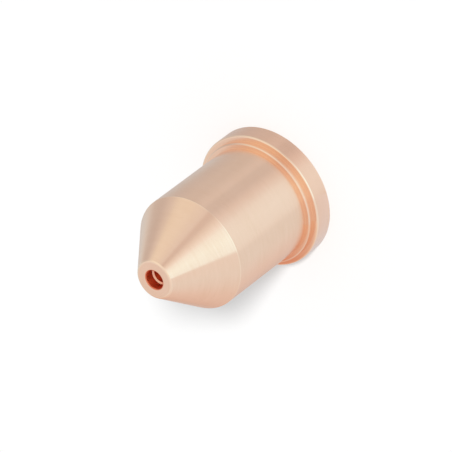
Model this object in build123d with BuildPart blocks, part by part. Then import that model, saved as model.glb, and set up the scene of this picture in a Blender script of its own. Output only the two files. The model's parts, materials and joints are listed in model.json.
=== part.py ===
"""Plasma torch nozzle, turned in one piece from copper bar.

Millimetres, +Z up. The nozzle stands on the back face of its flange with the nose upwards, and the
origin is the middle of that face, on the turning axis.
"""

import os
from math import radians, tan

from build123d import *

# Flange, at the back end
flange_d = 19.0
flange_h = 2.85
flange_front_edge = 0.2
flange_back_edge = 0.1

# Low seat ring on the front of the flange
seat_d = 17.5
seat_h = 0.8
seat_edge = 0.15

# Cylindrical body and conical nose
body_d = 16.2
shoulder_z = 18.0
overall_h = 25.8
tip_d = 5.4
shoulder_edge = 0.1
tip_edge = 0.35

# Exit of the arc in the tip: a wider drilled mouth over the orifice
exit_bore_d = 2.7
exit_bore_depth = 1.35
exit_edge = 0.1
drill_point_angle = 118.0
orifice_d = 2.2
orifice_length = 3.0

# Hollow inside: a seat for the swirl ring, the electrode's chamber and its conical end
ring_seat_d = 13.6
ring_seat_depth = 3.0
ring_seat_edge = 0.4
chamber_d = 11.0
chamber_depth = 16.5

# Heights inside, measured from the back face
exit_bore_bottom = overall_h - exit_bore_depth
drill_point_drop = (exit_bore_d - orifice_d) / 2 / tan(radians(drill_point_angle / 2))
orifice_top = exit_bore_bottom - drill_point_drop
orifice_bottom = orifice_top - orifice_length

os.makedirs("parts", exist_ok=True)

with BuildPart() as nozzle:
    # Outside: flange, seat ring, body and nose as one turned profile
    with BuildSketch(Plane.XZ):
        with BuildLine():
            Polyline(
                (0, 0),
                (flange_d / 2, 0),
                (flange_d / 2, flange_h),
                (seat_d / 2, flange_h),
                (seat_d / 2, flange_h + seat_h),
                (body_d / 2, flange_h + seat_h),
                (body_d / 2, shoulder_z),
                (tip_d / 2, overall_h),
                (0, overall_h),
                close=True,
            )
        make_face()
    revolve(axis=Axis.Z)

    # Broken edges, with the rings in order of radius: tip, body, seat ring, flange
    rings = nozzle.edges().filter_by(GeomType.CIRCLE).group_by(SortBy.RADIUS)
    tip_ring = rings[0]
    shoulder_ring = rings[1].sort_by(Axis.Z)[-1]
    seat_ring = rings[2].sort_by(Axis.Z)[-1]
    flange_back_ring, flange_front_ring = rings[3].sort_by(Axis.Z)
    chamfer(flange_back_ring, length=flange_back_edge)
    fillet(flange_front_ring, radius=flange_front_edge)
    chamfer(seat_ring, length=seat_edge)
    fillet(shoulder_ring, radius=shoulder_edge)
    fillet(tip_ring, radius=tip_edge)

    # Hollow: swirl ring seat, chamber and its cone down to the orifice
    with BuildSketch(Plane.XZ):
        with BuildLine():
            Polyline(
                (0, 0),
                (ring_seat_d / 2 + ring_seat_edge, 0),
                (ring_seat_d / 2, ring_seat_edge),
                (ring_seat_d / 2, ring_seat_depth),
                (chamber_d / 2, ring_seat_depth),
                (chamber_d / 2, chamber_depth),
                (orifice_d / 2, orifice_bottom),
                (orifice_d / 2, orifice_top),
                (exit_bore_d / 2, exit_bore_bottom),
                (exit_bore_d / 2, overall_h - exit_edge),
                (exit_bore_d / 2 + exit_edge, overall_h),
                (0, overall_h),
                close=True,
            )
        make_face()
    revolve(axis=Axis.Z, mode=Mode.SUBTRACT)

nozzle.part.label = "nozzle"
export_step(nozzle.part, "parts/nozzle.step")
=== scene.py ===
"""Looks of the plasma torch nozzle: one piece of turned copper that stands on its flange.

Metres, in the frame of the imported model. The origin is the middle of the flange's back face, and
+Z runs along the turning axis to the nose.
"""

import json
import logging
import math
from dataclasses import dataclass, field
from enum import Enum

import bmesh
import bpy
from mathutils import Matrix, Vector


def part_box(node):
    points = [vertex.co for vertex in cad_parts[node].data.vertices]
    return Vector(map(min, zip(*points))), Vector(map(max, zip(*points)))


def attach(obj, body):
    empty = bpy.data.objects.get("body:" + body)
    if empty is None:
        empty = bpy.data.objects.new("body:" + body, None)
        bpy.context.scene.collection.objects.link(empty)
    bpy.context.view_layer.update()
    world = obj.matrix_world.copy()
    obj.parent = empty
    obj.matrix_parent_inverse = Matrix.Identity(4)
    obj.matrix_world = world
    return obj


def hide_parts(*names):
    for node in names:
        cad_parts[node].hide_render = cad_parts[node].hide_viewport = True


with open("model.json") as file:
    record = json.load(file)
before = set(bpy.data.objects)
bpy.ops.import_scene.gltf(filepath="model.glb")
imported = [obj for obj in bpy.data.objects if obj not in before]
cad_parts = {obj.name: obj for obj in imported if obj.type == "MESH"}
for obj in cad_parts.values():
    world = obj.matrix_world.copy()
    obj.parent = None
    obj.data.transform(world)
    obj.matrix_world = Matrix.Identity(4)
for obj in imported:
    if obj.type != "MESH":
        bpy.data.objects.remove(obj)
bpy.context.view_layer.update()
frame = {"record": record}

log = logging.getLogger("nozzle")

MM = 0.001
SENSOR_MM = 36.0
FULL_TURN_DEG = 360.0

Colour = tuple[float, float, float, float]
Socket = bpy.types.NodeSocket

WHITE: Colour = (1.0, 1.0, 1.0, 1.0)


class Face(Enum):
    """How a face of the section was cut or handled, with the share of deep red painted shade that
    it shows.
    """

    TURNED = 0.0
    HANDLED = 0.1
    DRILL_POINT = 0.28
    DRILLED = 1.0


class EdgeForm(Enum):
    """How a corner of the turned section is finished."""

    SHARP = "sharp"
    CHAMFER = "chamfer"
    ROUND = "round"


@dataclass(frozen=True)
class Corner:
    """One corner of the turned section, by its radius and height, with the finish of its edge.

    The face is the one that runs from this corner to the next, and the polish is the edge's: a
    burnished edge whose lighter colour is also a painted highlight.
    """

    radius: float
    height: float
    form: EdgeForm = EdgeForm.SHARP
    size: float = 0.0
    face: Face = Face.TURNED
    # Share of the lighter edge colour: partly burnish, partly a painted highlight.
    polish_and_highlight: float = 1.0

    def point(self) -> Vector:
        """Gives the corner before its edge is broken, as (radius, height)."""
        return Vector((self.radius, self.height))


@dataclass(frozen=True)
class SectionPoint:
    """A point of the finished section, with its polish and painted highlight, and its share of
    painted bore shade, from 0 to 1.
    """

    place: Vector
    polish_and_highlight: float
    tint: float


@dataclass
class TurnedSection:
    """The closed half section that the lathe turns into a solid."""

    corners: list[Corner]
    arc_steps: int = 8
    # How far the edge's burnish and painted highlight reach onto the faces beside it.
    polish_and_highlight_reach: float = 0.06 * MM
    narrow_face: float = 0.18 * MM
    next_face_share: float = 0.85

    def finished(self) -> list[SectionPoint]:
        """Breaks every edge and sets a plain point beside it, so that the polish and painted
        highlight stay at the edge.

        A broken edge takes its share of painted bore shade mostly from the face that follows it.

        Returns:
            The section's points in order round the closed loop.
        """
        points: list[SectionPoint] = []
        count = len(self.corners)
        for index, corner in enumerate(self.corners):
            last = self.corners[index - 1]
            after = self.corners[(index + 1) % count].point()
            broken = self._broken_edge(corner, last.point(), after)
            tint = last.face.value + (corner.face.value - last.face.value) * self.next_face_share
            points += self._beside(broken[0], last.point(), last.face)
            points += [SectionPoint(place, corner.polish_and_highlight, tint) for place in broken]
            points += self._beside(broken[-1], after, corner.face)
        return points

    def _beside(self, edge: Vector, toward: Vector, face: Face) -> list[SectionPoint]:
        """Gives the plain point next to an edge.

        Args:
            edge: End of the broken edge.
            toward: The neighbouring corner.
            face: The face between them.

        Returns:
            One plain point, or none where the face is too narrow for it.
        """
        run = toward - edge
        if run.length < self.narrow_face:
            return []
        return [SectionPoint(edge + run.normalized() * self.polish_and_highlight_reach, 0.0, face.value)]

    def _broken_edge(self, corner: Corner, before: Vector, after: Vector) -> list[Vector]:
        """Finishes one corner.

        Args:
            corner: The corner to finish.
            before: The corner before it.
            after: The corner after it.

        Returns:
            The points that take the corner's place.
        """
        tip = corner.point()
        back = (before - tip).normalized()
        ahead = (after - tip).normalized()
        if corner.form is EdgeForm.SHARP:
            return [tip]
        if corner.form is EdgeForm.CHAMFER:
            return [tip + back * corner.size, tip + ahead * corner.size]
        half_angle = back.angle(ahead) / 2
        middle = tip + (back + ahead).normalized() * (corner.size / math.sin(half_angle))
        start = tip + back * (corner.size / math.tan(half_angle))
        sweep = (start - middle).angle_signed(tip + ahead * (start - tip).length - middle)
        spoke = start - middle
        steps = range(self.arc_steps + 1)
        turns = [Matrix.Rotation(-sweep * step / self.arc_steps, 2) for step in steps]
        return [middle + turn @ spoke for turn in turns]


@dataclass(frozen=True)
class NodeDesk:
    """Short ways to add and join the nodes of one tree."""

    tree: bpy.types.NodeTree

    def add(self, kind: str, label: str = "", **settings: object) -> bpy.types.Node:
        """Adds a node.

        Args:
            kind: The node's Blender type.
            label: What the node does, in plain words.
            settings: Properties of the node.

        Returns:
            The new node.
        """
        node = self.tree.nodes.new(kind)
        node.label = label
        for name, value in settings.items():
            setattr(node, name, value)
        return node

    def join(self, source: Socket, target: Socket) -> None:
        """Joins two sockets."""
        self.tree.links.new(source, target)

    def math(self, operation: str, first: object, second: object = 0.0, label: str = "") -> Socket:
        """Adds a Math node.

        Args:
            operation: The node's operation.
            first: A socket or a number.
            second: A socket or a number.
            label: What the node does, in plain words.

        Returns:
            The result's socket.
        """
        node = self.add("ShaderNodeMath", label, operation=operation)
        for socket, value in zip(node.inputs, (first, second)):
            self.feed(socket, value)
        return node.outputs[0]

    def seen(self) -> Socket:
        """Tells the rays that see a surface from those that only light it.

        Returns:
            A socket that is 1 for rays that see it straight, in metal or through glass.
        """
        rays = self.add("ShaderNodeLightPath").outputs
        mirrored = self.math("MAXIMUM", rays["Is Camera Ray"], rays["Is Glossy Ray"])
        return self.math("MAXIMUM", mirrored, rays["Is Transmission Ray"], "seen")

    def bearing(self, apart: bpy.types.Node) -> Socket:
        """Measures the bearing of a place round the turning axis.

        Args:
            apart: The node that gives the place's X and Y.

        Returns:
            The bearing in radians, from -X through -Y.
        """
        toward_left = self.math("MULTIPLY", apart.outputs["X"], -1.0)
        toward_camera = self.math("MULTIPLY", apart.outputs["Y"], -1.0)
        return self.math("ARCTAN2", toward_camera, toward_left, "bearing")

    def feed(self, socket: Socket, value: object) -> None:
        """Joins a socket to a value, or sets it.

        Args:
            socket: The socket to feed.
            value: Another socket, a number or a colour.
        """
        if isinstance(value, Socket):
            self.join(value, socket)
        else:
            socket.default_value = value

    def spread(
        self, value: Socket, low: float, high: float, to_low: float, to_high: float, label: str
    ) -> Socket:
        """Maps a range of values to another.

        Args:
            value: The socket to map.
            low: Lowest value that comes in.
            high: Highest value that comes in.
            to_low: What the lowest becomes.
            to_high: What the highest becomes.
            label: What the node does, in plain words.

        Returns:
            The result's socket.
        """
        node = self.add("ShaderNodeMapRange", label)
        limits = {"From Min": low, "From Max": high, "To Min": to_low, "To Max": to_high}
        for name, number in limits.items():
            node.inputs[name].default_value = number
        self.join(value, node.inputs["Value"])
        return node.outputs["Result"]

    def blend(self, kind: str, share: Socket, first: object, second: object, label: str) -> Socket:
        """Adds a Mix node.

        Args:
            kind: What is mixed, RGBA or FLOAT.
            share: The second's share.
            first: A socket, a number or a colour.
            second: A socket, a number or a colour.
            label: What the node does, in plain words.

        Returns:
            The result's socket.
        """
        node = self.add("ShaderNodeMix", label, data_type=kind)
        self.join(share, node.inputs["Factor"])
        self.feed(node.inputs["A"], first)
        self.feed(node.inputs["B"], second)
        return node.outputs["Result"]

    def trait(self, name: str) -> Socket:
        """Reads one of the piece's own attributes."""
        return self.add("ShaderNodeAttribute", name, attribute_name=name).outputs["Fac"]

    def apart(self) -> bpy.types.Node:
        """Takes the Object coordinates apart.

        Returns:
            The node that gives their X, Y and Z.
        """
        node = self.add("ShaderNodeSeparateXYZ")
        self.join(self.add("ShaderNodeTexCoord").outputs["Object"], node.inputs["Vector"])
        return node

    def surface(self, shader: Socket) -> None:
        """Joins a shader to the material's output."""
        self.join(shader, self.add("ShaderNodeOutputMaterial").inputs["Surface"])


def bare_material(name: str) -> bpy.types.Material:
    """Makes a material with no nodes yet.

    Args:
        name: The material's name.

    Returns:
        The material.
    """
    material = bpy.data.materials.new(name)
    material.use_nodes = True
    material.node_tree.nodes.clear()
    return material


def show_in_metal_alone(thing: bpy.types.Object) -> None:
    """Hides a part of the stage from all rays but those that metal reflects."""
    for rays in ("camera", "diffuse", "transmission", "volume_scatter", "shadow"):
        setattr(thing, "visible_" + rays, False)


@dataclass(frozen=True)
class TurnedCopper:
    """Satin copper from the lathe with fine rings and faint streaks, lighter edges that are partly
    a painted highlight, and painted shade in the drilled exit.
    """

    name: str = "turned_copper"
    colour: Colour = (0.95, 0.66, 0.505, 1.0)
    tarnish: Colour = (0.93, 0.635, 0.475, 1.0)
    # Lighter colour of the burnished edges, which also serves as a painted highlight.
    burnish_and_highlight: Colour = (0.98, 0.72, 0.55, 1.0)
    # Deep red painted into the drilled exit as the shade inside the hole.
    painted_bore_shade: Colour = (0.82, 0.15, 0.05, 1.0)
    roughness_low: float = 0.16
    roughness_high: float = 0.20
    edge_roughness: float = 0.14
    drilled_roughness: float = 0.35
    stretch: float = 0.95
    across_the_rings: float = 0.25
    ring_pitch: float = 0.11 * MM
    ring_depth: float = 0.0005 * MM
    ring_detail: float = 2.0
    streak_pitch: float = 0.35 * MM
    streak_detail: float = 3.0
    satin_from: float = 0.3
    satin_to: float = 0.7
    blotch_size: float = 3.5 * MM
    blotch_detail: float = 4.0
    tarnish_from: float = 0.15
    tarnish_to: float = 0.45

    def material(self) -> bpy.types.Material:
        """Builds the finish.

        Returns:
            The material.
        """
        material = bpy.data.materials.new(self.name)
        material.use_nodes = True
        desk = NodeDesk(material.node_tree)
        shader = material.node_tree.nodes["Principled BSDF"]
        travel = self._travel(desk)
        streaks = self._streaks(desk, travel)
        # The edges' burnish and painted highlight, and the painted shade of the drilled exit, come
        # from the section's attributes.
        polish_and_highlight = desk.trait("polish_and_highlight")
        tint = desk.trait("tint")
        desk.join(self._colour(desk, streaks, polish_and_highlight, tint), shader.inputs["Base Color"])
        desk.join(self._roughness(desk, streaks, polish_and_highlight, tint), shader.inputs["Roughness"])
        desk.join(self._rings(desk, travel), shader.inputs["Normal"])
        tangent = desk.add("ShaderNodeTangent", "round the axis", direction_type="RADIAL", axis="Z")
        desk.join(tangent.outputs["Tangent"], shader.inputs["Tangent"])
        shader.inputs["Metallic"].default_value = 1.0
        shader.inputs["Anisotropic"].default_value = self.stretch
        shader.inputs["Anisotropic Rotation"].default_value = self.across_the_rings
        return material

    def _travel(self, desk: NodeDesk) -> Socket:
        """Measures the tool's travel: along the axis on a wall, towards the axis on a face.

        Args:
            desk: The material's desk.

        Returns:
            The travel in metres.
        """
        apart = desk.apart()
        flat = desk.add("ShaderNodeCombineXYZ")
        desk.join(apart.outputs["X"], flat.inputs["X"])
        desk.join(apart.outputs["Y"], flat.inputs["Y"])
        radius = desk.add("ShaderNodeVectorMath", "radius", operation="LENGTH")
        desk.join(flat.outputs["Vector"], radius.inputs[0])
        return desk.math("SUBTRACT", apart.outputs["Z"], radius.outputs["Value"], "tool travel")

    def _streaks(self, desk: NodeDesk, travel: Socket) -> Socket:
        """Makes streaks that run a short way round the axis.

        Args:
            desk: The material's desk.
            travel: The tool's travel.

        Returns:
            The streaks' strength.
        """
        apart = desk.apart()
        along = desk.add("ShaderNodeCombineXYZ")
        desk.join(desk.math("DIVIDE", apart.outputs["X"], self.blotch_size), along.inputs["X"])
        desk.join(desk.math("DIVIDE", apart.outputs["Y"], self.blotch_size), along.inputs["Y"])
        desk.join(desk.math("DIVIDE", travel, self.streak_pitch), along.inputs["Z"])
        noise = desk.add("ShaderNodeTexNoise", "streaks")
        noise.inputs["Scale"].default_value = 1.0
        noise.inputs["Detail"].default_value = self.streak_detail
        desk.join(along.outputs["Vector"], noise.inputs["Vector"])
        return noise.outputs["Fac"]

    def _colour(self, desk: NodeDesk, streaks: Socket, polish_and_highlight: Socket, tint: Socket) -> Socket:
        """Mixes clean copper, faint tarnish, lighter edges that are partly a painted highlight, and
        the deep red painted shade of the drilled exit.

        Args:
            desk: The material's desk.
            streaks: The streaks' strength.
            polish_and_highlight: How far handling has polished the edge, which is also the share of
                painted highlight.
            tint: Share of the painted bore shade.

        Returns:
            The colour.
        """
        blotch = desk.add("ShaderNodeTexNoise", "tarnish")
        blotch.inputs["Scale"].default_value = 1.0 / self.blotch_size
        blotch.inputs["Detail"].default_value = self.blotch_detail
        place = desk.add("ShaderNodeTexCoord").outputs["Object"]
        desk.join(place, blotch.inputs["Vector"])
        both = desk.math("MULTIPLY", blotch.outputs["Fac"], streaks, "tarnish in streaks")
        faint = desk.spread(both, self.tarnish_from, self.tarnish_to, 0.0, 1.0, "faint tarnish")
        tarnished = desk.blend("RGBA", faint, self.colour, self.tarnish, "tarnish")
        # Lighter edges: partly burnish, partly a painted highlight.
        edged = desk.blend("RGBA", polish_and_highlight, tarnished, self.burnish_and_highlight, "bright edges")
        # Deep red painted shade in the drilled exit.
        return desk.blend("RGBA", tint, edged, self.painted_bore_shade, "painted bore shade")

    def _roughness(self, desk: NodeDesk, streaks: Socket, polish_and_highlight: Socket, tint: Socket) -> Socket:
        """Varies the gloss with the streaks, smoother at the edges and rougher where drilled.

        Args:
            desk: The material's desk.
            streaks: The streaks' strength.
            polish_and_highlight: How far handling has polished the edge, which is also the share of
                painted highlight.
            tint: Share of the painted bore shade.

        Returns:
            The roughness.
        """
        gloss = (self.roughness_low, self.roughness_high)
        satin = desk.spread(streaks, self.satin_from, self.satin_to, *gloss, "satin")
        edged = desk.blend("FLOAT", polish_and_highlight, satin, self.edge_roughness, "smoother edges")
        return desk.blend("FLOAT", tint, edged, self.drilled_roughness, "drilled")

    def _rings(self, desk: NodeDesk, travel: Socket) -> Socket:
        """Raises the fine uneven rings of the turning tool.

        Args:
            desk: The material's desk.
            travel: The tool's travel.

        Returns:
            The bumped normal.
        """
        noise = desk.add("ShaderNodeTexNoise", "turning rings", noise_dimensions="1D")
        noise.inputs["Scale"].default_value = 1.0
        noise.inputs["Detail"].default_value = self.ring_detail
        desk.join(desk.math("DIVIDE", travel, self.ring_pitch), noise.inputs["W"])
        bump = desk.add("ShaderNodeBump", "turning rings")
        bump.inputs["Distance"].default_value = self.ring_depth
        desk.join(noise.outputs["Fac"], bump.inputs["Height"])
        return bump.outputs["Normal"]


@dataclass
class Lathe:
    """A Geometry Nodes tree that turns a closed section round the Z axis."""

    segments: int = 256
    turning_radius: float = 1.0 * MM
    inputs: dict[str, str] = field(default_factory=dict)

    def tree(self) -> bpy.types.NodeTree:
        """Builds the tree, with named inputs.

        Returns:
            The node group.
        """
        group = bpy.data.node_groups.new("lathe", "GeometryNodeTree")
        group.is_modifier = True
        for name, kind in (
            ("Section", "NodeSocketGeometry"),
            ("Segments", "NodeSocketInt"),
            ("Turning Radius", "NodeSocketFloat"),
            ("Finish", "NodeSocketMaterial"),
        ):
            socket = group.interface.new_socket(name=name, in_out="INPUT", socket_type=kind)
            self.inputs[name] = socket.identifier
        group.interface.new_socket(name="Solid", in_out="OUTPUT", socket_type="NodeSocketGeometry")
        desk = NodeDesk(group)
        entry = desk.add("NodeGroupInput")
        section = desk.add("GeometryNodeMeshToCurve", "section")
        desk.join(entry.outputs["Section"], section.inputs["Mesh"])
        path = desk.add("GeometryNodeCurvePrimitiveCircle", "turning path")
        desk.join(entry.outputs["Segments"], path.inputs["Resolution"])
        desk.join(entry.outputs["Turning Radius"], path.inputs["Radius"])
        turned = desk.add("GeometryNodeCurveToMesh", "turned solid")
        desk.join(path.outputs["Curve"], turned.inputs["Curve"])
        desk.join(section.outputs["Curve"], turned.inputs["Profile Curve"])
        smooth = desk.add("GeometryNodeSetShadeSmooth")
        desk.join(turned.outputs["Mesh"], smooth.inputs["Geometry"])
        real = desk.add("GeometryNodeRealizeInstances")
        desk.join(smooth.outputs["Geometry"], real.inputs["Geometry"])
        dressed = desk.add("GeometryNodeSetMaterial")
        desk.join(real.outputs["Geometry"], dressed.inputs["Geometry"])
        desk.join(entry.outputs["Finish"], dressed.inputs["Material"])
        leave = desk.add("NodeGroupOutput")
        desk.join(dressed.outputs["Geometry"], leave.inputs["Solid"])
        return group

    def turn(
        self, name: str, section: TurnedSection, finish: bpy.types.Material
    ) -> bpy.types.Object:
        """Turns a section into a plain mesh.

        Args:
            name: The piece's name.
            section: The closed half section.
            finish: The piece's material.

        Returns:
            The turned piece, with no modifier left.
        """
        points = section.finished()[::-1]
        wire = bpy.data.meshes.new(name + "_section")
        count = len(points)
        wire.from_pydata(
            [(point.place.x - self.turning_radius, -point.place.y, 0.0) for point in points],
            [(index, (index + 1) % count) for index in range(count)],
            [],
        )
        # Each point carries the edge's polish and painted highlight, and its share of painted bore
        # shade.
        for trait in ("polish_and_highlight", "tint"):
            layer = wire.attributes.new(trait, "FLOAT", "POINT")
            layer.data.foreach_set("value", [getattr(point, trait) for point in points])
        blank = bpy.data.objects.new(name + "_blank", wire)
        bpy.context.scene.collection.objects.link(blank)
        modifier = blank.modifiers.new("lathe", "NODES")
        modifier.node_group = self.tree()
        modifier[self.inputs["Segments"]] = self.segments
        modifier[self.inputs["Turning Radius"]] = self.turning_radius
        modifier[self.inputs["Finish"]] = finish
        evaluated = blank.evaluated_get(bpy.context.evaluated_depsgraph_get())
        mesh = bpy.data.meshes.new_from_object(evaluated)
        mesh.name = name
        bpy.data.objects.remove(blank)
        piece = bpy.data.objects.new(name, mesh)
        bpy.context.scene.collection.objects.link(piece)
        return piece


@dataclass
class Nozzle:
    """The whole nozzle: flange, seat ring, body and nose outside, seat, chamber and exit inside."""

    flange_front_edge: float = 0.2 * MM
    flange_back_edge: float = 0.1 * MM
    flange_height: float = 2.85 * MM
    seat_radius: float = 8.75 * MM
    seat_height: float = 0.8 * MM
    seat_edge: float = 0.15 * MM
    shoulder_height: float = 18.0 * MM
    shoulder_edge: float = 0.1 * MM
    tip_radius: float = 2.7 * MM
    tip_edge: float = 0.35 * MM
    exit_radius: float = 1.35 * MM
    exit_depth: float = 1.35 * MM
    exit_edge: float = 0.1 * MM
    drill_point_deg: float = 118.0
    orifice_radius: float = 1.1 * MM
    orifice_length: float = 3.0 * MM
    ring_seat_edge: float = 0.4 * MM
    chamber_depth: float = 16.5 * MM
    shading_break_deg: float = 22.0
    finish: TurnedCopper = TurnedCopper()

    def section(self) -> TurnedSection:
        """Lays out the closed half section, from the flange up the outside and down the inside.

        Returns:
            The section.
        """
        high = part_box("nozzle")[1]
        mounts = {mount["name"]: mount["dims"] for mount in frame["record"]["mounts"]}
        body_radius = mounts["body"]["r_mm"] * MM
        ring_seat_radius = mounts["ring_seat"]["r_mm"] * MM
        ring_seat_depth = mounts["ring_seat"]["length_mm"] * MM
        chamber_radius = mounts["chamber"]["r_mm"] * MM
        seat_top = self.flange_height + self.seat_height
        exit_bottom = high.z - self.exit_depth
        drill_slope = math.tan(math.radians(self.drill_point_deg / 2))
        orifice_top = exit_bottom - (self.exit_radius - self.orifice_radius) / drill_slope
        return TurnedSection(
            [
                Corner(high.x, 0.0, EdgeForm.CHAMFER, self.flange_back_edge, Face.HANDLED),
                Corner(high.x, self.flange_height, EdgeForm.ROUND, self.flange_front_edge),
                Corner(self.seat_radius, self.flange_height),
                # The seat's edge takes no lighter edge colour, so it has no painted highlight.
                Corner(self.seat_radius, seat_top, EdgeForm.CHAMFER, self.seat_edge, polish_and_highlight=0.0),
                Corner(body_radius, seat_top),
                Corner(body_radius, self.shoulder_height, EdgeForm.ROUND, self.shoulder_edge),
                Corner(self.tip_radius, high.z, EdgeForm.ROUND, self.tip_edge),
                # The exit's faces take the deep red painted shade of the hole.
                Corner(self.exit_radius, high.z, EdgeForm.CHAMFER, self.exit_edge, Face.DRILLED),
                Corner(self.exit_radius, exit_bottom, face=Face.DRILL_POINT),
                Corner(self.orifice_radius, orifice_top, face=Face.DRILLED),
                Corner(self.orifice_radius, orifice_top - self.orifice_length),
                Corner(chamber_radius, self.chamber_depth),
                Corner(chamber_radius, ring_seat_depth),
                Corner(ring_seat_radius, ring_seat_depth),
                Corner(ring_seat_radius, 0.0, EdgeForm.CHAMFER, self.ring_seat_edge),
            ]
        )

    def build(self) -> bpy.types.Object:
        """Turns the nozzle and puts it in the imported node's place.

        Returns:
            The finished piece.
        """
        piece = Lathe().turn("nozzle_turned", self.section(), self.finish.material())
        piece.data.set_sharp_from_angle(angle=math.radians(self.shading_break_deg))
        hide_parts("nozzle")
        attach(piece, "root")
        log.info("%s: %d faces", piece.name, len(piece.data.polygons))
        return piece


class Cloth(Enum):
    """Colour of the light tent's cloth, for a level of 1."""

    WHITE = (1.0, 1.0, 1.0)
    AMBER = (1.06, 0.93, 0.87)
    GOLD = (1.0, 1.03, 0.95)
    BLUE = (0.91, 1.03, 1.06)


@dataclass(frozen=True)
class TentStop:
    """The light tent's brightness at one bearing, with its cloth and the depth of its colour."""

    bearing_deg: float
    level: float
    cloth: Cloth = Cloth.WHITE
    depth: float = 1.0

    def colour(self) -> tuple[float, float, float]:
        """Gives the tent's colour at the stop."""
        return tuple(self.level * (1.0 + self.depth * (part - 1.0)) for part in self.cloth.value)


@dataclass
class LightTent:
    """A pale tent all round that only the metal shows, with one bright panel beside the camera.

    Bearings run round the turning axis, from -X through -Y, the camera's side. The lower wall hangs
    well below the floor's level, the upper wall stands on it, and the roof closes the tent. The
    heights at which they run into one another are shares of the tent's radius.
    """

    lower: list[TentStop] = field(
        default_factory=lambda: [
            TentStop(-180.0, 0.66),
            TentStop(-165.0, 0.64),
            TentStop(-150.0, 0.62),
            TentStop(-130.0, 0.67, Cloth.BLUE, 0.4),
            TentStop(-100.0, 0.67),
            TentStop(-70.0, 0.65, Cloth.AMBER, 1.3),
            TentStop(-50.0, 0.735, Cloth.AMBER),
            TentStop(-30.0, 0.785, Cloth.AMBER, 0.5),
            TentStop(-10.0, 0.835, Cloth.BLUE, 0.2),
            TentStop(10.0, 0.87, Cloth.BLUE, 0.7),
            TentStop(33.0, 0.87, Cloth.BLUE, 0.7),
            TentStop(38.0, 0.925, Cloth.BLUE, 0.7),
            TentStop(70.0, 0.965, Cloth.BLUE, 0.8),
            TentStop(90.0, 0.94, Cloth.BLUE, 0.7),
            TentStop(110.0, 0.80),
            TentStop(127.0, 0.68),
            TentStop(132.0, 0.695),
            TentStop(138.0, 0.65),
            TentStop(142.0, 0.72),
            TentStop(150.0, 0.74),
            TentStop(170.0, 0.655),
            TentStop(180.0, 0.66),
        ]
    )
    upper: list[TentStop] = field(
        default_factory=lambda: [
            TentStop(-180.0, 0.84, Cloth.GOLD),
            TentStop(-170.0, 0.75, Cloth.GOLD, 0.3),
            TentStop(-156.0, 0.645),
            TentStop(-149.0, 0.625),
            TentStop(-137.0, 0.655, Cloth.BLUE, 0.2),
            TentStop(-130.0, 0.72, Cloth.BLUE, 0.4),
            TentStop(-124.0, 0.78, Cloth.BLUE, 0.7),
            TentStop(-108.0, 0.83, Cloth.BLUE),
            TentStop(-78.0, 0.64, Cloth.AMBER, 2.0),
            TentStop(-67.0, 0.67, Cloth.AMBER, 2.2),
            TentStop(-50.0, 0.745, Cloth.AMBER, 1.1),
            TentStop(-30.0, 0.80, Cloth.AMBER, 0.5),
            TentStop(-10.0, 0.85, Cloth.BLUE, 0.2),
            TentStop(10.0, 0.89, Cloth.BLUE, 0.6),
            TentStop(42.0, 0.905, Cloth.BLUE, 0.5),
            TentStop(47.0, 1.20, Cloth.BLUE, 1.9),
            TentStop(70.0, 1.29, Cloth.BLUE, 2.2),
            TentStop(88.0, 1.20, Cloth.BLUE, 1.8),
            TentStop(97.0, 1.02, Cloth.BLUE, 0.8),
            TentStop(108.0, 0.82, Cloth.GOLD, 0.5),
            TentStop(117.0, 0.67, Cloth.AMBER, 0.4),
            TentStop(124.0, 0.67, Cloth.AMBER, 0.5),
            TentStop(130.0, 0.79, Cloth.GOLD, 0.2),
            TentStop(155.0, 0.86, Cloth.GOLD, 0.9),
            TentStop(172.0, 0.87, Cloth.GOLD),
            TentStop(180.0, 0.84, Cloth.GOLD),
        ]
    )
    roof: list[TentStop] = field(
        default_factory=lambda: [
            TentStop(-180.0, 0.95, Cloth.GOLD),
            TentStop(-130.0, 0.84),
            TentStop(-90.0, 0.82),
            TentStop(-10.0, 0.86),
            TentStop(30.0, 0.92),
            TentStop(70.0, 0.97, Cloth.GOLD),
            TentStop(110.0, 0.88),
            TentStop(150.0, 0.95, Cloth.GOLD),
            TentStop(180.0, 0.95, Cloth.GOLD),
        ]
    )
    upper_from: float = -0.64
    upper_to: float = -0.25
    roof_from: float = 0.48
    roof_to: float = 0.62
    brightest: float = 1.5
    radius: float = 4.0
    fineness: int = 5

    def build(self) -> bpy.types.Object:
        """Hangs the tent.

        Returns:
            The tent.
        """
        mesh = bpy.data.meshes.new("light_tent")
        form = bmesh.new()
        bmesh.ops.create_icosphere(form, subdivisions=self.fineness, radius=self.radius)
        form.to_mesh(mesh)
        form.free()
        mesh.materials.append(self._glow())
        tent = bpy.data.objects.new("light_tent", mesh)
        show_in_metal_alone(tent)
        bpy.context.scene.collection.objects.link(tent)
        log.info("%s: %d stops", tent.name, len(self.lower + self.upper + self.roof))
        return tent

    def _glow(self) -> bpy.types.Material:
        """Makes the tent's glowing cloth.

        Returns:
            The material.
        """
        material = bare_material("tent_cloth")
        desk = NodeDesk(material.node_tree)
        apart = desk.apart()
        turn = desk.spread(desk.bearing(apart), -math.pi, math.pi, 0.0, 1.0, "share of a turn")
        height = desk.math("DIVIDE", apart.outputs["Z"], self.radius, "height")
        shown = self._band(desk, turn, self.lower)
        for stops, low, high in (
            (self.upper, self.upper_from, self.upper_to),
            (self.roof, self.roof_from, self.roof_to),
        ):
            rise = desk.spread(height, low, high, 0.0, 1.0, "rise")
            shown = desk.blend("RGBA", rise, shown, self._band(desk, turn, stops), "next band up")
        cloth = desk.add("ShaderNodeEmission")
        desk.join(shown, cloth.inputs["Color"])
        cloth.inputs["Strength"].default_value = self.brightest
        desk.surface(cloth.outputs["Emission"])
        material.cycles.emission_sampling = "NONE"
        return material

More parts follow.
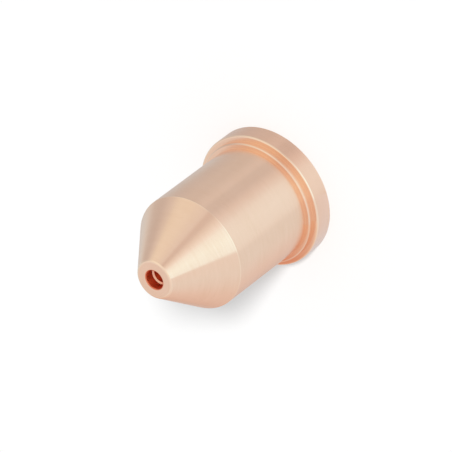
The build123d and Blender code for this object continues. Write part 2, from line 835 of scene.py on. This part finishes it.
    def _band(self, desk: NodeDesk, turn: Socket, stops: list[TentStop]) -> Socket:
        """Runs a band's stops into one another round the tent.

        Args:
            desk: The cloth's desk.
            turn: The bearing as a share of a turn.
            stops: The band's stops.

        Returns:
            The band's colour, as a share of the brightest.
        """
        curves = desk.add("ShaderNodeRGBCurve", "band")
        for part, line in enumerate(curves.mapping.curves[:3]):
            while len(line.points) < len(stops):
                line.points.new(0.5, 0.5)
            for point, stop in zip(line.points, stops):
                share = stop.bearing_deg / FULL_TURN_DEG + 0.5
                point.location = (share, stop.colour()[part] / self.brightest)
                point.handle_type = "VECTOR"
        curves.mapping.update()
        desk.join(turn, curves.inputs["Color"])
        return curves.outputs["Color"]


@dataclass
class BounceCard:
    """A curved card beside the flange that only the metal on its face's side shows.

    Bearings are the light tent's. The card's colour deepens away from the camera, and the card
    fades at its far end.
    """

    name: str
    near_colour: Colour
    far_colour: Colour
    near_deg: float
    deepest_deg: float
    fading_deg: float
    far_deg: float
    inner_radius: float
    outer_radius: float
    height: float
    face_up: bool
    steps: int = 24

    def build(self) -> bpy.types.Object:
        """Hangs the card.

        Returns:
            The card.
        """
        mesh = bpy.data.meshes.new(self.name)
        run = (self.far_deg - self.near_deg) / self.steps
        turns = [math.radians(self.near_deg + run * step) for step in range(self.steps + 1)]
        rims = (self.inner_radius, self.outer_radius)
        corners = [(-rim * math.cos(turn), -rim * math.sin(turn)) for turn in turns for rim in rims]
        mesh.from_pydata(
            [(x, y, self.height) for x, y in corners],
            [],
            [(first, first + 1, first + 3, first + 2) for first in range(0, 2 * self.steps, 2)],
        )
        if self.face_up:
            mesh.flip_normals()
        mesh.materials.append(self._glow())
        card = bpy.data.objects.new(self.name, mesh)
        show_in_metal_alone(card)
        bpy.context.scene.collection.objects.link(card)
        log.info("%s: %d steps", card.name, self.steps)
        return card

    def _glow(self) -> bpy.types.Material:
        """Makes a glow on the card's face alone.

        Returns:
            The material.
        """
        material = bare_material(self.name)
        desk = NodeDesk(material.node_tree)
        bearing = desk.math("DEGREES", desk.bearing(desk.apart()))
        deeper = desk.spread(bearing, self.near_deg, self.deepest_deg, 0.0, 1.0, "deeper")
        dye = desk.blend("RGBA", deeper, self.near_colour, self.far_colour, "dye")
        glow = desk.add("ShaderNodeEmission")
        desk.join(dye, glow.inputs["Color"])
        back = desk.add("ShaderNodeNewGeometry").outputs["Backfacing"]
        faded = desk.spread(bearing, self.fading_deg, self.far_deg, 0.0, 1.0, "faded end")
        mix = desk.add("ShaderNodeMixShader")
        desk.join(desk.math("MAXIMUM", back, faded, "clear"), mix.inputs["Fac"])
        desk.join(glow.outputs["Emission"], mix.inputs[1])
        desk.join(desk.add("ShaderNodeBsdfTransparent").outputs["BSDF"], mix.inputs[2])
        desk.surface(mix.outputs["Shader"])
        material.cycles.emission_sampling = "NONE"
        return material


@dataclass
class WarmCard(BounceCard):
    """A copper-coloured card over one end of the flange, for its front face."""

    name: str = "warm_card"
    near_colour: Colour = (0.88, 0.80, 0.72, 1.0)
    far_colour: Colour = (0.73, 0.40, 0.29, 1.0)
    near_deg: float = 36.0
    deepest_deg: float = -20.0
    fading_deg: float = -38.0
    far_deg: float = -80.0
    inner_radius: float = 7.5 * MM
    outer_radius: float = 11.0 * MM
    height: float = 4.5 * MM
    face_up: bool = False


@dataclass
class PaleCard(BounceCard):
    """A pale cool card at the foot of the flange, for its rim."""

    name: str = "pale_card"
    near_colour: Colour = (0.86, 0.95, 1.02, 1.0)
    far_colour: Colour = (0.75, 0.83, 0.90, 1.0)
    near_deg: float = 60.0
    deepest_deg: float = -8.0
    fading_deg: float = -14.0
    far_deg: float = -36.0
    inner_radius: float = 9.5 * MM
    outer_radius: float = 11.6 * MM
    height: float = -0.2 * MM
    face_up: bool = True


@dataclass
class WhiteSurround:
    """The world: white wherever it is seen, and an even soft light everywhere else."""

    light: float = 0.62

    def build(self) -> None:
        """Makes the world."""
        world = bpy.data.worlds.new("white_surround")
        world.use_nodes = True
        bpy.context.scene.world = world
        desk = NodeDesk(world.node_tree)
        light = world.node_tree.nodes["Background"]
        light.inputs["Color"].default_value = WHITE
        strength = desk.spread(desk.seen(), 0.0, 1.0, self.light, 1.0, "white where seen")
        desk.join(strength, light.inputs["Strength"])
        log.info("world: light level %.2f", self.light)


@dataclass
class StudioFloor:
    """A wide white floor that keeps a soft shadow."""

    radius: float = 3.0
    colour: Colour = (0.85, 0.85, 0.85, 1.0)
    glow: float = 0.25
    corners: int = 64

    def build(self) -> bpy.types.Object:
        """Makes the floor.

        Returns:
            The floor.
        """
        mesh = bpy.data.meshes.new("studio_floor")
        turns = [math.tau * step / self.corners for step in range(self.corners)]
        ring = [(self.radius * math.cos(turn), self.radius * math.sin(turn)) for turn in turns]
        mesh.from_pydata([(x, y, 0.0) for x, y in ring], [], [tuple(range(self.corners))])
        floor = bpy.data.objects.new("studio_floor", mesh)
        bpy.context.scene.collection.objects.link(floor)
        mesh.materials.append(self._paint())
        floor.visible_glossy = False
        log.info("%s: radius %.1f m", floor.name, self.radius)
        return floor

    def _paint(self) -> bpy.types.Material:
        """Makes white paint that looks white to the camera and still takes a shadow.

        Returns:
            The material.
        """
        material = bare_material("floor_white")
        desk = NodeDesk(material.node_tree)
        paint = desk.add("ShaderNodeBsdfDiffuse")
        paint.inputs["Color"].default_value = self.colour
        white = desk.add("ShaderNodeEmission")
        mix = desk.add("ShaderNodeMixShader")
        desk.join(desk.math("MULTIPLY", desk.seen(), self.glow, "white share"), mix.inputs["Fac"])
        desk.join(paint.outputs["BSDF"], mix.inputs[1])
        desk.join(white.outputs["Emission"], mix.inputs[2])
        desk.surface(mix.outputs["Shader"])
        return material


@dataclass
class KeyLight:
    """One distant lamp from over the camera's shoulder, for the soft shadow on the floor."""

    bearing: Vector = field(default_factory=lambda: Vector((0.13, -0.99, 0.0)))
    elevation_deg: float = 43.0
    width_deg: float = 9.0
    strength: float = 2.68

    def build(self) -> bpy.types.Object:
        """Turns the lamp towards the nozzle.

        Returns:
            The lamp.
        """
        lamp = bpy.data.lights.new("key_light", "SUN")
        lamp.energy = self.strength
        lamp.angle = math.radians(self.width_deg)
        holder = bpy.data.objects.new("key_light", lamp)
        rise = math.radians(self.elevation_deg)
        away = self.bearing.normalized() * math.cos(rise) + Vector((0.0, 0.0, math.sin(rise)))
        facing = away.to_track_quat("Z", "Y").to_matrix().to_4x4()
        holder.matrix_world = Matrix.Translation(away) @ facing
        holder.visible_glossy = False
        bpy.context.scene.collection.objects.link(holder)
        log.info("key light: strength %.1f", self.strength)
        return holder


@dataclass
class PhotoCamera:
    """The photograph's view of the nozzle: from above, and turned about the line of sight."""

    aim: Vector = field(default_factory=lambda: Vector((-0.03, 0.0, 10.19)) * MM)
    elevation_deg: float = 42.32
    roll_deg: float = -127.09
    distance: float = 657.4 * MM
    lens_mm: float = 401.0
    clip_start: float = 10.0 * MM

    def build(self) -> bpy.types.Object:
        """Sets up the camera and makes it the scene's own.

        Returns:
            The camera.
        """
        data = bpy.data.cameras.new("photo_camera")
        data.sensor_width = SENSOR_MM
        data.lens = self.lens_mm
        data.clip_start = self.clip_start
        camera = bpy.data.objects.new("photo_camera", data)
        rise = math.radians(self.elevation_deg)
        away = Vector((0.0, -math.cos(rise), math.sin(rise)))
        level = Matrix.Rotation(math.pi / 2 - rise, 4, "X")
        roll = Matrix.Rotation(math.radians(self.roll_deg), 4, "Z")
        camera.matrix_world = Matrix.Translation(self.aim + away * self.distance) @ level @ roll
        bpy.context.scene.collection.objects.link(camera)
        bpy.context.scene.camera = camera
        log.info("camera: %.0f mm lens", self.lens_mm)
        return camera


def main() -> None:
    """Builds the nozzle, its stage and its light."""
    logging.basicConfig(level=logging.INFO, format="%(name)s: %(message)s")
    bpy.context.scene.view_settings.view_transform = "Standard"
    Nozzle().build()
    StudioFloor().build()
    WhiteSurround().build()
    LightTent().build()
    WarmCard().build()
    PaleCard().build()
    KeyLight().build()
    PhotoCamera().build()


if __name__ == "__main__":
    main()
